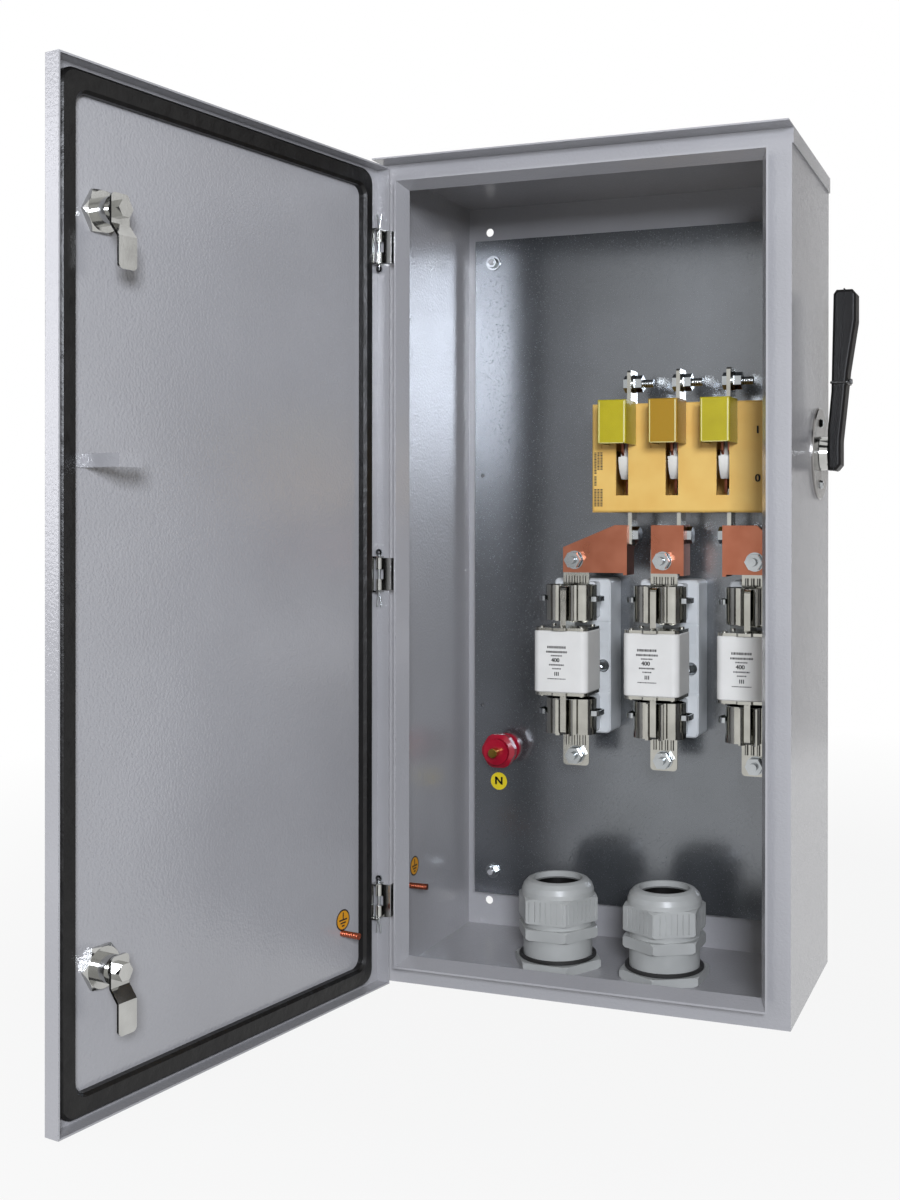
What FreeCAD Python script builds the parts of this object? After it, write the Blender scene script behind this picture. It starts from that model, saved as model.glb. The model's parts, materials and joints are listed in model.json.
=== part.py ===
import FreeCAD, Part
import Sketcher
import math
import os
import re

# Steel switch fuse box with an open door, a three pole knife switch and three knife fuses.
# Origin: centre of the four wall holes, on the back plane. X right, Y into the wall, Z up.
# Lengths are in millimetres.
SIZES = {
    "boxWidth": 400, "boxDepth": 210, "boxHeight": 800, "sheetThick": 1.5,
    "frameBand": 25, "rimReach": 16, "rimEdge": 18,
    "wallHoleX": 174, "wallHoleZ": 372, "wallHole": 9,
    "entryHole": 71, "glandX": 56, "glandY": -105,
    "roofFront": 25, "roofSkirt": 13.5,
    "plateHalfX": 185.5, "plateHalfZ": 360, "plateFront": -15, "plateThick": 2,
    "plateStudX": 164, "plateStudZ": 335, "studSize": 6,
    "hingeX": -195.8, "hingeY": -230, "hingePitch": 316, "knuckle": 3.1, "pinSize": 3,
    "leafTall": 31, "leafThick": 1.2, "openAngle": 100,
    "doorHalfX": 201, "doorTop": 393, "doorBottom": -397, "doorFront": -236, "doorFlange": 15,
    "gasketThick": 8, "lockX": 150, "lockZ": 286, "camLong": 46, "camWide": 18, "camThick": 2,
    "camCrank": 8, "camPlane": -214.5,
    "tongueLow": 92, "tongueTall": 10.5,
    "poleFirst": 10, "polePitch": 51.5, "shaftY": -62, "shaftZ": 117.6, "shaftSize": 12,
    "coverLeft": -22, "coverRight": 175, "coverLow": 60, "coverHigh": 169, "coverFront": -100,
    "coverWall": 2.5, "slotWide": 13, "trayFront": -21,
    "chuteWide": 29, "chuteDeep": 36, "chuteLow": 127.5, "chuteHigh": 170.5, "chuteWall": 1.5,
    "bladeUp": 46, "bladeDown": 38, "bladeWide": 18, "bladeThick": 2.5, "bladeGap": 4.6,
    "carrierSize": 44, "carrierWide": 12, "noseReach": 31,
    "barFront": -76, "barDeep": 24, "barThick": 4, "barTop": 205, "barFoot": 26,
    "boltHex": 8.8, "boltShank": 4,
    "fuseFirst": -48, "fusePitch": 94, "fuseWide": 57, "fuseTall": 68, "fuseDeep": 50,
    "fuseMid": -90, "fuseFront": -124, "fuseBlade": 6,
    "baseWide": 62, "baseHigh": -9, "baseLow": -170.5, "baseFront": -52, "padFront": -69,
    "stripWide": 28, "stripThick": 3, "lyreTall": 36, "lyreThick": 1.5, "lyreHalf": 27,
    "handleX": 200, "discSize": 90, "hubSize": 34, "handleTop": 276, "handleLow": 101,
}

doc = FreeCAD.newDocument("SwitchFuseBox")
sheet = doc.addObject("Spreadsheet::Sheet", "Sizes")
for row, (alias, value) in enumerate(SIZES.items(), start=1):
    sheet.set("A%d" % row, alias)
    sheet.set("B%d" % row, str(value))
    sheet.setAlias("B%d" % row, alias)
doc.recompute()

ALIASES = re.compile(r"\b(" + "|".join(SIZES) + r")\b")
NODES = []


# Binding of properties to the sheet
def bind(thing, path, value):
    if isinstance(value, str):
        thing.setExpression(path, ALIASES.sub(r"Sizes.\1", value))
    elif "." in path:
        thing.setExpression(path, str(value))
    else:
        setattr(thing, path, value)


def place(thing, x, y, z):
    bind(thing, "Placement.Base.x", x)
    bind(thing, "Placement.Base.y", y)
    bind(thing, "Placement.Base.z", z)
    return thing


def minus(high, low):
    return "(%s) - (%s)" % (high, low)


# Solid helpers
def block(x0, x1, y0, y1, z0, z1):
    thing = doc.addObject("Part::Box", "Block")
    bind(thing, "Length", minus(x1, x0))
    bind(thing, "Width", minus(y1, y0))
    bind(thing, "Height", minus(z1, z0))
    return place(thing, x0, y0, z0)


TURNS = {
    "X": FreeCAD.Rotation(FreeCAD.Vector(0, 1, 0), 90),
    "Y": FreeCAD.Rotation(FreeCAD.Vector(1, 0, 0), -90),
    "Z": FreeCAD.Rotation(),
}


def rod(axis, x, y, z, radius, length):
    thing = doc.addObject("Part::Cylinder", "Rod")
    bind(thing, "Radius", radius)
    bind(thing, "Height", length)
    thing.Placement = FreeCAD.Placement(FreeCAD.Vector(), TURNS[axis])
    return place(thing, x, y, z)


def cone(axis, x, y, z, radius, end_radius, length):
    thing = doc.addObject("Part::Cone", "Cone")
    bind(thing, "Radius1", radius)
    bind(thing, "Radius2", end_radius)
    bind(thing, "Height", length)
    thing.Placement = FreeCAD.Placement(FreeCAD.Vector(), TURNS[axis])
    return place(thing, x, y, z)


def prism(axis, x, y, z, corner_radius, length, sides=6):
    thing = doc.addObject("Part::Prism", "Prism")
    thing.Polygon = sides
    bind(thing, "Circumradius", corner_radius)
    bind(thing, "Height", length)
    thing.Placement = FreeCAD.Placement(FreeCAD.Vector(), TURNS[axis])
    return place(thing, x, y, z)


def fuse(*things):
    whole = doc.addObject("Part::MultiFuse", "Joined")
    whole.Shapes = list(things)
    whole.Refine = True
    return whole


def cut(base, *tools):
    whole = doc.addObject("Part::Cut", "Trimmed")
    whole.Base = base
    whole.Tool = fuse(*tools) if len(tools) > 1 else tools[0]
    whole.Refine = True
    return whole


def common(*things):
    whole = doc.addObject("Part::MultiCommon", "Shared")
    whole.Shapes = list(things)
    return whole


def rounded(base, radius, choose, kind="Part::Fillet"):
    doc.recompute()
    edges = []
    for number, edge in enumerate(base.Shape.Edges, start=1):
        if choose(edge):
            edges.append((number, radius, radius))
    thing = doc.addObject(kind, "Rounded")
    thing.Base = base
    thing.Edges = edges
    return thing


def along(direction):
    def choose(edge):
        if not isinstance(edge.Curve, Part.Line):
            return False
        return abs(edge.Curve.Direction.dot(direction)) > 0.999
    return choose


def node(label, *things, turned=None):
    whole = doc.addObject("Part::Compound", "Node")
    whole.Links = list(things)
    whole.Label = label
    if turned is not None:
        whole.Placement = turned
    NODES.append(whole)
    return whole


def finish(thing, label, turned=None):
    thing.Label = label
    if turned is not None:
        thing.Placement = turned
    NODES.append(thing)
    return thing


# Bodies with sketches
def origin_plane(body, role):
    for feature in body.Origin.OriginFeatures:
        if feature.Role == role:
            return feature
    return None


def outline(body, role, points, offset=0):
    sketch = body.newObject("Sketcher::SketchObject", "Outline")
    sketch.AttachmentSupport = (origin_plane(body, role), [""])
    sketch.MapMode = "FlatFace"
    bind(sketch, "AttachmentOffset.Base.z", offset)
    count = len(points)
    corners = []
    for index in range(count):
        turn = 2 * math.pi * index / count
        corners.append(FreeCAD.Vector(50 * math.cos(turn), 50 * math.sin(turn), 0))
    for index in range(count):
        line = Part.LineSegment(corners[index], corners[(index + 1) % count])
        sketch.addGeometry(line, False)
    for index in range(count):
        after = (index + 1) % count
        sketch.addConstraint(Sketcher.Constraint("Coincident", index, 2, after, 1))
    for index, (across, up) in enumerate(points):
        start = corners[index]
        for kind, value, now in (("DistanceX", across, start.x), ("DistanceY", up, start.y)):
            pin = sketch.addConstraint(Sketcher.Constraint(kind, -1, 1, index, 1, now))
            bind(sketch, "Constraints[%d]" % pin, str(value))
    return sketch


def padded(role, points, offset, length, backward=False):
    body = doc.addObject("PartDesign::Body", "Body")
    doc.recompute()
    pad = body.newObject("PartDesign::Pad", "Pad")
    pad.Profile = outline(body, role, points, offset)
    bind(pad, "Length", length)
    pad.Reversed = backward
    body.Tip = pad
    return body


def revolved(points):
    body = doc.addObject("PartDesign::Body", "Body")
    doc.recompute()
    turn = body.newObject("PartDesign::Revolution", "Revolution")
    sketch = outline(body, "XZ_Plane", points)
    turn.Profile = sketch
    turn.ReferenceAxis = (sketch, ["V_Axis"])
    turn.Angle = 360
    body.Tip = turn
    return body


def edges_of(body, choose):
    doc.recompute()
    names = []
    for number, edge in enumerate(body.Tip.Shape.Edges, start=1):
        if choose(edge):
            names.append("Edge%d" % number)
    return names


def round_edges(body, radius, choose):
    names = edges_of(body, choose)
    base = body.Tip
    fillet = body.newObject("PartDesign::Fillet", "Fillet")
    fillet.Base = (base, names)
    fillet.Radius = radius
    body.Tip = fillet
    return body


FULL_X = FreeCAD.Vector(1, 0, 0)
FULL_Y = FreeCAD.Vector(0, 1, 0)
FULL_Z = FreeCAD.Vector(0, 0, 1)

# The open door is turned about its hinge line
HINGE_LINE = FreeCAD.Vector(SIZES["hingeX"], SIZES["hingeY"], 0)
DOOR_TURN = FreeCAD.Rotation(FULL_Z, -SIZES["openAngle"])
DOOR_OPEN = FreeCAD.Placement(FreeCAD.Vector(), DOOR_TURN, HINGE_LINE)


# Folded sheet box with its flared rim, wall holes, cable entries and plate studs
def box_shell():
    outer = block("-boxWidth/2", "boxWidth/2", "-boxDepth", "0", "-boxHeight/2", "boxHeight/2")
    inner = block("-boxWidth/2 + sheetThick", "boxWidth/2 - sheetThick", "-boxDepth + sheetThick",
                  "-sheetThick", "-boxHeight/2 + sheetThick", "boxHeight/2 - sheetThick")
    mouth = block("-boxWidth/2 + frameBand", "boxWidth/2 - frameBand", "-boxDepth - 1",
                  "-boxDepth/2", "-boxHeight/2 + frameBand", "boxHeight/2 - frameBand")
    holes = [mouth, inner]
    for side in (-1, 1):
        holes.append(rod("Z", "%d*glandX" % side, "glandY", "-boxHeight/2 - 1", "entryHole/2", 4))
        for end in (-1, 1):
            holes.append(rod("Y", "%d*wallHoleX" % side, -3, "%d*wallHoleZ" % end, "wallHole/2", 5))
    holes.append(rod("X", "boxWidth/2 - 3", "shaftY", "shaftZ", "shaftSize/2 + 1.5", 6))
    for side in (-1, 1):
        holes.append(rod("X", "boxWidth/2 - 3", "shaftY", "shaftZ + %d" % (30 * side), 2.2, 6))
    rim = cut(rim_wedge("0", "0"), rim_wedge("sheetThick", "1"))
    solids = [cut(outer, *holes), rim]
    for side in (-1, 1):
        for end in (-1, 1):
            x = "%d*plateStudX" % side
            z = "%d*plateStudZ" % end
            solids.append(rod("Y", x, "plateFront - 9", z, "studSize/2", "-plateFront + 7.6"))
            solids.append(rod("Y", x, "plateFront + plateThick", z, "studSize/2 + 2",
                              "-plateFront - plateThick - 1.4"))
    finish(fuse(*solids), "box_shell")


def rim_wedge(inset, over):
    wedge = doc.addObject("Part::Wedge", "Rim")
    front = "-boxDepth - rimReach - %s" % over
    back = "-boxDepth + sheetThick + %s*0.5" % over
    bind(wedge, "Ymin", front)
    bind(wedge, "Ymax", back)
    for low, high, size, band in (("Xmin", "Xmax", "boxWidth/2", "rimEdge"),
                                  ("X2min", "X2max", "boxWidth/2", "frameBand"),
                                  ("Zmin", "Zmax", "boxHeight/2", "rimEdge"),
                                  ("Z2min", "Z2max", "boxHeight/2", "frameBand")):
        half = "%s - %s - %s" % (size, band, inset)
        bind(wedge, low, "-(%s)" % half)
        bind(wedge, high, half)
    return wedge


# Rain cap folded over the top, with a skirt down each side
def roof_cap():
    half = "boxWidth/2 + sheetThick"
    top = block("-(%s)" % half, half, "-boxDepth - roofFront", "0",
                "boxHeight/2", "boxHeight/2 + sheetThick")
    skirts = []
    for low, high in (("-(%s)" % half, "-boxWidth/2"), ("boxWidth/2", half)):
        skirts.append(block(low, high, "-boxDepth", "0", "boxHeight/2 - roofSkirt",
                            "boxHeight/2 + sheetThick/2"))
    finish(fuse(top, *skirts), "roof_cap")


# Mounting plate on four studs, each with a flanged nut
def mounting_plate():
    plate = block("-plateHalfX", "plateHalfX", "plateFront", "plateFront + plateThick",
                  "-plateHalfZ", "plateHalfZ")
    holes = []
    nuts = []
    for side in (-1, 1):
        for level in (101, -153):
            holes.append(rod("Y", "%s*(plateHalfX - 9)" % side, "plateFront - 1", level, 2.1, 4))
        for end in (-1, 1):
            x = "%d*plateStudX" % side
            z = "%d*plateStudZ" % end
            holes.append(rod("Y", x, "plateFront - 1", z, "studSize/2 + 0.25", 4))
            washer = rod("Y", x, "plateFront - 1.6", z, 8, 1.6)
            nut = prism("Y", x, "plateFront - 6.6", z, 5.8, 5.2)
            bore = rod("Y", x, "plateFront - 8", z, "studSize/2", 9)
            nuts.append(cut(fuse(washer, nut), bore))
    finish(cut(plate, *holes), "mounting_plate")
    node("plate_nuts", *nuts)


# Door pan with a return flange all round, built closed and turned open
def door_panel():
    pan = block("-doorHalfX", "doorHalfX", "doorFront", "doorFront + doorFlange",
                "doorBottom", "doorTop")
    soft = rounded(pan, 1.2, lambda edge: edge.BoundBox.YMax < SIZES["doorFront"] + 1)
    hollow = block("-doorHalfX + sheetThick", "doorHalfX - sheetThick", "doorFront + sheetThick",
                   "doorFront + doorFlange + 1", "doorBottom + sheetThick", "doorTop - sheetThick")
    holes = [hollow]
    for end in (-1, 1):
        holes.append(rod("Y", "lockX", "doorFront - 1", "%d*lockZ" % end, 11, 4))
    finish(cut(soft, *holes), "door_panel", DOOR_OPEN)


# Foamed seal, one ring with round corners, standing on the door's inner face
def door_gasket():
    face = "doorFront + sheetThick"
    back = "doorFront + sheetThick + gasketThick"
    ring = block(-182.5, 194, face, back, -391, 387)
    hole = block(-169.5, 178, "doorFront", "doorFront + 20", -374, 370)
    outer = rounded(ring, 14, along(FULL_Y))
    inner = rounded(hole, 10, along(FULL_Y))
    crown = cut(outer, inner)
    doc.recompute()
    top = SIZES["doorFront"] + SIZES["sheetThick"] + SIZES["gasketThick"]
    soft = rounded(crown, 2.5, lambda edge: edge.BoundBox.YMin > top - 0.01, "Part::Chamfer")
    finish(soft, "door_gasket", DOOR_OPEN)


def hinge_levels():
    return ["%d*hingePitch" % step for step in (1, 0, -1)]


# Frame leaves: a plate rolled into two knuckles, folded back to the box frame
def hinge_leaves():
    leaves = []
    for level in hinge_levels():
        low = "%s - leafTall/2" % level
        high = "%s + leafTall/2" % level
        plate = block("hingeX", "hingeX + 12.4", "hingeY - leafThick/2", "hingeY + leafThick/2",
                      low, high)
        leg = block("hingeX + 11.2", "hingeX + 12.4", "hingeY - leafThick/2", "-boxDepth", low, high)
        window = block("hingeX - 4", "hingeX + 5", "hingeY - 4", "hingeY + 4",
                       "%s - 5" % level, "%s + 4.5" % level)
        roll = rod("Z", "hingeX", "hingeY", low, "knuckle", "leafTall")
        bore = rod("Z", "hingeX", "hingeY", "%s - 20" % level, "pinSize/2 + 0.1", 40)
        leaves.append(cut(fuse(plate, leg, roll), window, bore))
    node("hinge_leaves", *leaves)


# Door brackets: two ears round the pin, joined by a web on the door sheet
def hinge_brackets():
    brackets = []
    for level in hinge_levels():
        solids = [block("hingeX + 3.7", "hingeX + 9", "hingeY - 4.5", "hingeY - 3.3",
                        "%s - leafTall/2 - 1.7" % level, "%s + leafTall/2 + 1.7" % level)]
        for low in ("%s - leafTall/2 - 1.7" % level, "%s + leafTall/2 + 0.5" % level):
            solids.append(block("hingeX - 3.5", "hingeX + 9", "hingeY - 4.5", "hingeY + 3.3",
                                low, "%s + leafThick" % low))
        bore = rod("Z", "hingeX", "hingeY", "%s - 24" % level, "pinSize/2 + 0.1", 48)
        brackets.append(cut(fuse(*solids), bore))
    node("hinge_brackets", *brackets, turned=DOOR_OPEN)


# Split pins: an eye at one end and two spread legs at the other
def hinge_split_pins():
    pins = []
    for level, eye_side in zip(hinge_levels(), (-1, 1, 1)):
        shank = rod("Z", "hingeX", "hingeY", "%s - 19" % level, "pinSize/2", 38)
        eye_z = "%s + %d" % (level, 21 * eye_side)
        eye = cut(rod("Y", "hingeX", "hingeY - 0.9", eye_z, 3.1, 1.8),
                  rod("Y", "hingeX", "hingeY - 1", eye_z, 1.3, 2))
        legs = []
        for lean in (-1, 1):
            leg = doc.addObject("Part::Cylinder", "Leg")
            leg.Radius = 0.75
            leg.Height = 14
            tilt = FreeCAD.Rotation(FULL_Y, 8 * lean + (180 if eye_side > 0 else 0))
            leg.Placement = FreeCAD.Placement(FreeCAD.Vector(), tilt)
            legs.append(place(leg, "hingeX + %s" % (0.4 * lean * -eye_side), "hingeY",
                              "%s + %d" % (level, -18 * eye_side)))
        pins.append(fuse(shank, eye, *legs))
    node("hinge_split_pins", *pins)


# Quarter turn locks: insert and threaded tube, hexagon nut, cranked cam and its screw
def door_locks():
    housings = []
    nuts = []
    for name, end in (("upper", 1), ("lower", -1)):
        z = "%d*lockZ" % end
        insert = cone("Y", "lockX", "doorFront - 2", z, 13, 14, 2)
        slot = block("lockX - 1.5", "lockX + 1.5", "doorFront - 3", "doorFront - 0.5",
                     "%s - 7" % z, "%s + 7" % z)
        tube = rod("Y", "lockX", "doorFront - 0.2", z, 11, 18)
        post = rod("Y", "lockX", "doorFront", z, 9, "camPlane - doorFront")
        housings.append(cut(fuse(insert, tube, post), slot))
        nut = prism("Y", "lockX", "doorFront + sheetThick", z, 18.5, 5)
        nut_edge = cone("Y", "lockX", "doorFront + sheetThick - 3", z, 23, 15.8, 8.1)
        bore = rod("Y", "lockX", "doorFront", z, 11, 10)
        nuts.append(cut(common(nut, nut_edge), bore))
        door_cam(name, end)
    node("lock_housings", *housings, turned=DOOR_OPEN)
    node("lock_nuts", *nuts, turned=DOOR_OPEN)


def door_cam(name, end):
    level = "%d*lockZ" % end
    base = "camPlane"
    step = "camPlane + camCrank"
    profile = [(base, "%s + 12" % level), (base, "%s - 12" % level), (step, "%s - 22" % level),
               (step, "%s - camLong" % level), ("%s + camThick" % step, "%s - camLong" % level),
               ("%s + camThick" % step, "%s - 21.2" % level),
               ("%s + camThick" % base, "%s - 11.2" % level),
               ("%s + camThick" % base, "%s + 12" % level)]
    arm = padded("YZ_Plane", profile, "lockX - camWide/2", "camWide")
    round_edges(arm, 4, along(FULL_Y))
    screw = prism("Y", "lockX", "camPlane + camThick", level, 7.2, 6)
    finish(arm, "lock_cam_%s" % name, DOOR_OPEN)
    node("cam_screw_%s" % name, screw, turned=DOOR_OPEN)


# Interlock tongue: a bent strip that stands on the door and reaches to the switch
def interlock_tongue():
    face = "doorFront + sheetThick"
    profile = [(176.5, face), (164.5, face), (164.5, "-198"), (143.5, "-198"), (143.5, "-196.5"),
               (166, "-196.5"), (166, "%s + 1.5" % face), (176.5, "%s + 1.5" % face)]
    strip = padded("XY_Plane", profile, "tongueLow", "tongueTall")
    tab = block(157.5, 165, -210, -208.5, "tongueLow + 2", "tongueLow + 8")
    node("interlock_tongue", fuse(strip, tab), turned=DOOR_OPEN)


# Copper plated earth studs welded to the box wall and to the door
def earth_studs():
    wall = rod("X", "-boxWidth/2 + sheetThick", -156, -320, "studSize/2", 20)
    door = rod("Y", -144.5, "doorFront + sheetThick", -336, "studSize/2", 20)
    node("box_earth_stud", wall)
    node("door_earth_stud", door, turned=DOOR_OPEN)


# Neutral post: a ribbed moulded insulator with a brass stud set in its face
def neutral_post():
    profile = [(0, 0), (16, 0), (16, 5), (13.5, 9), (13.5, 15), (19, 20), (19, 27), (14, 30),
               (14, 35), (0, 35)]
    body = revolved(profile)
    body.Placement = FreeCAD.Placement(FreeCAD.Vector(), FreeCAD.Rotation(FULL_X, 90))
    place(body, -147, "plateFront", -198)
    flats = prism("Y", -147, "plateFront - 36", -198, 20.6, 37)
    bore = rod("Y", -147, "plateFront - 36", -198, 4.2, 12)
    finish(cut(common(body, flats), bore), "neutral_insulator")
    stud = fuse(rod("Y", -147, "plateFront - 44", -198, 5, 9),
                rod("Y", -147, "plateFront - 36", -198, 4.2, 12))
    tip = cone("Y", -147, "plateFront - 44.8", -198, 4.2, 5, 0.8)
    finish(fuse(stud, tip), "neutral_stud")


def poles():
    return ["(poleFirst + %d*polePitch)" % step for step in range(3)]


def fuses():
    names = ("left", "middle", "right")
    return [(name, "(fuseFirst + %d*fusePitch)" % step) for step, name in enumerate(names)]


# Moulded switch tray with shaft bearings between the poles and ribs behind the terminals
def switch_base():
    solids = [block("coverLeft", "coverRight", "trayFront", "plateFront", "coverLow", "coverHigh")]
    walls = ["coverLeft + 8", "poleFirst + polePitch/2", "poleFirst + 1.5*polePitch",
             "poleFirst + 2.5*polePitch", "coverRight - 8"]
    for wall in walls:
        solids.append(block("%s - 2" % wall, "%s + 2" % wall, "shaftY - 12", "trayFront + 1",
                            "coverLow + 6", "coverHigh - 8"))
    for pole in poles():
        solids.append(block("%s - 2" % pole, "%s + 2" % pole, "barFront + barDeep",
                            "trayFront + 1", "coverHigh - 17", "coverHigh"))
        solids.append(block("%s - 6" % pole, "%s + 6" % pole, "barFront + barDeep",
                            "trayFront + 1", "coverLow", "coverLow + 18"))
    bearing = rod("X", "coverLeft - 1", "shaftY", "shaftZ", "shaftSize/2 + 0.3", "boxWidth")
    finish(cut(fuse(*solids), bearing), "switch_base")


# Moulded cover: three recessed windows with a blade slot each, ridges between them
def switch_cover():
    shell = block("coverLeft", "coverRight", "coverFront", "trayFront", "coverLow", "coverHigh")
    soft = rounded(shell, 3, lambda edge: front_edge(edge))
    inside = block("coverLeft + coverWall", "coverRight - coverWall", "coverFront + coverWall",
                   "trayFront + 1", "coverLow - 1", "coverHigh + 1")
    cuts = [inside]
    for pole in poles():
        cuts.append(block("%s - 22" % pole, "%s + 22" % pole, "coverFront - 1",
                          "coverFront + 1", "coverHigh - 45", "coverHigh + 1"))
        cuts.append(block("%s - slotWide/2" % pole, "%s + slotWide/2" % pole, "coverFront - 1",
                          "coverFront + 4", "coverLow + 17", "coverHigh - 4"))
    bore = rod("X", "coverRight - 6", "shaftY", "shaftZ", "shaftSize/2 + 1", 8)
    sight = rod("Y", "coverRight - 28", "coverFront - 1", "shaftZ - 24.6", 5, 1.6)
    sight_up = rod("Y", "coverRight - 28", "coverFront - 1", "shaftZ + 22.4", 5, 1.6)
    lids = []
    for low, high in (("coverLow", "coverLow + coverWall"), ("coverHigh - coverWall", "coverHigh")):
        for start, end in zip(["coverLeft"] + poles(), poles() + ["coverRight"]):
            first = start if start == "coverLeft" else "%s + 8" % start
            last = end if end == "coverRight" else "%s - 8" % end
            lids.append(block("%s + 0.5" % first, "%s - 0.5" % last, "coverFront + 2",
                              "trayFront - 16", low, high))
    finish(fuse(cut(soft, *cuts, bore, sight, sight_up), *lids), "switch_cover")
    screws = []
    for z in ("shaftZ + 37.4", "shaftZ - 7.6"):
        head = cone("X", "coverLeft - 4", -40, z, 3.5, 4.5, 4)
        drive = prism("X", "coverLeft - 5", -40, z, 2.4, 3)
        screws.append(cut(head, drive))
    node("cover_screws", *screws)


def front_edge(edge):
    box = edge.BoundBox
    return box.YMax < SIZES["coverFront"] + 0.01 or (
        box.YLength > 50 and box.XLength < 0.01 and box.ZLength < 0.01)


# Arc chutes: boxes open below and behind, with thin splitter plates inside
def arc_chutes():
    chutes = []
    splitters = []
    for pole in poles():
        low, high = "%s - chuteWide/2" % pole, "%s + chuteWide/2" % pole
        shell = block(low, high, "coverFront - chuteDeep", "coverFront", "chuteLow", "chuteHigh")
        soft = rounded(shell, 1.5, lambda edge: edge.BoundBox.YMax < -135.9)
        inside = block("%s + chuteWall" % low, "%s - chuteWall" % high,
                       "coverFront - chuteDeep + chuteWall", "coverFront + 1", "chuteLow - 1",
                       "chuteHigh - chuteWall")
        vent = block("%s - 6" % pole, "%s + 6" % pole, "coverFront - 30", "coverFront - 26",
                     "chuteHigh - 4", "chuteHigh + 1")
        chutes.append(cut(soft, inside, vent))
        for step in range(4):
            y = "coverFront - 13 - %s" % (5.2 * step)
            splitters.append(block("%s + chuteWall" % low, "%s - chuteWall" % high, y,
                                   "%s + 1" % y, "chuteLow + 2", "chuteHigh - chuteWall - 3"))
    node("arc_chutes", *chutes)
    node("arc_splitters", *splitters)


# Shaft, carriers and paired copper blades that turn together
def switch_rotor():
    shaft = rod("X", "coverLeft + 4", "shaftY", "shaftZ", "shaftSize/2", "handleX - coverLeft - 0.8")
    node("drive_shaft", shaft)
    carriers = []
    blades = []
    side_view = [("shaftY - bladeWide/2", "shaftZ - bladeDown"),
                 ("shaftY + bladeWide/2", "shaftZ - bladeDown"),
                 ("shaftY + bladeWide/2", "shaftZ + bladeUp"),
                 ("shaftY - bladeWide/2", "shaftZ + bladeUp"),
                 ("shaftY - bladeWide/2 - 17", "shaftZ + bladeUp - 10"),
                 ("shaftY - bladeWide/2 - 17", "shaftZ + 4"), ("shaftY - bladeWide/2", "shaftZ - 14")]
    for pole in poles():
        drum = rod("X", "%s - carrierWide/2" % pole, "shaftY", "shaftZ", "carrierSize/2",
                   "carrierWide")
        nose_disc = rod("X", "%s - carrierWide/2" % pole, "shaftY", "shaftZ", "noseReach",
                        "carrierWide")
        nose_block = block("%s - carrierWide/2" % pole, "%s + carrierWide/2" % pole,
                           "shaftY - noseReach - 1", "shaftY", "shaftZ - 24", "shaftZ - 1.6")
        pair = []
        for side in (-1, 1):
            near = "%s + %d*(bladeGap/2)" % (pole, side)
            low = near if side > 0 else "%s - bladeThick" % near
            strip = padded("YZ_Plane", side_view, low, "bladeThick")
            round_edges(strip, 3, lambda edge: along(FULL_X)(edge) and edge.BoundBox.ZMin > 100)
            bore = rod("X", "%s - 8" % pole, "shaftY", "shaftZ", "shaftSize/2", 16)
            pair.append(cut(strip, bore))
        bore = rod("X", "%s - 8" % pole, "shaftY", "shaftZ", "shaftSize/2", 16)
        carriers.append(cut(fuse(drum, common(nose_disc, nose_block)), bore, *pair))
        blades.extend(pair)
    node("blade_carriers", *carriers)
    node("moving_blades", *blades)


# Bolt along X: hexagon head at the low end, washer and nut at the high end
def cross_bolt(low, high, y, z, spare, head_low=True):
    if head_low:
        head_at, washer_at, nut_at = "%s - 6" % low, high, "%s + 1.8" % high
        shank_at = "%s - 1" % low
    else:
        head_at, washer_at, nut_at = high, "%s - 1.8" % low, "%s - 9.3" % low
        shank_at = "%s - 9.3 - %s" % (low, spare)
    return fuse(prism("X", head_at, y, z, "boltHex", 6),
                rod("X", shank_at, y, z, "boltShank", "%s + 10.3 + %s" % (minus(high, low), spare)),
                rod("X", washer_at, y, z, "boltHex + 0.6", 1.8),
                prism("X", nut_at, y, z, "boltHex", 7.5))


LINK_SIDES = (-1, 1, -1)
BOLT_LINE = "barFront + barDeep/2 + 2"


# Fixed terminal bars with their bolts
def terminals():
    uppers = []
    lowers = []
    bolts = []
    y = BOLT_LINE
    back = "barFront + barDeep"
    z_up = "barTop - 13"
    z_low = "barFoot + 11"
    for pole, side in zip(poles(), LINK_SIDES):
        low, high = "%s - barThick/2" % pole, "%s + barThick/2" % pole
        upper = block(low, high, "barFront", back, "shaftZ + carrierSize/2 + 4", "barTop")
        lower = block(low, high, "barFront + barThick", back, "barFoot",
                      "shaftZ - noseReach - 1")
        hole_up = rod("X", "%s - 1" % low, y, z_up, 4, 6)
        hole_low = rod("X", "%s - 1" % low, y, z_low, 4, 6)
        uppers.append(cut(rounded(upper, 3, along(FULL_X)), hole_up))
        lowers.append(cut(rounded(lower, 3, along(FULL_X)), hole_low))
        bolts.append(cross_bolt(low, high, y, z_up, 11))
        first = "%s - barThick" % low if side < 0 else low
        last = "%s + barThick" % high if side > 0 else high
        bolts.append(cross_bolt(first, last, y, z_low, 6, head_low=pole.startswith("(poleFirst + 2")))
    node("upper_terminals", *uppers)
    node("lower_terminals", *lowers)
    node("switch_terminal_bolts", *bolts)


# Copper links: flat bar folded to a flange that meets a lower terminal bar
def copper_links():
    shapes = {
        "left": (4, 8, [(-61, -2), (8, -2), (8, 47), (-5, 47), (-61, 24)]),
        "middle": (63.5, 67.5, [(33.4, -2), (67.5, -2), (67.5, 47), (33.4, 47)]),
        "right": (107, 111, [(107, -2), (160, -2), (160, 30), (142, 47), (107, 47)]),
    }
    for (name, fuse_x), (low, high, points) in zip(fuses(), shapes.values()):
        plate = padded("XZ_Plane", points, "-barFront - barThick", "barThick")
        flange = block(low, high, "barFront", "barFront + 26", -4, 47)
        hole = rod("Y", fuse_x, "barFront - 1", 11, 4.5, 6)
        bolt_hole = rod("X", "%s - 1" % low, BOLT_LINE, "barFoot + 11", 4, 6)
        finish(cut(fuse(plate, flange), hole, bolt_hole), "copper_link_%s" % name)


BASE_SCREW_Z = -100


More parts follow.
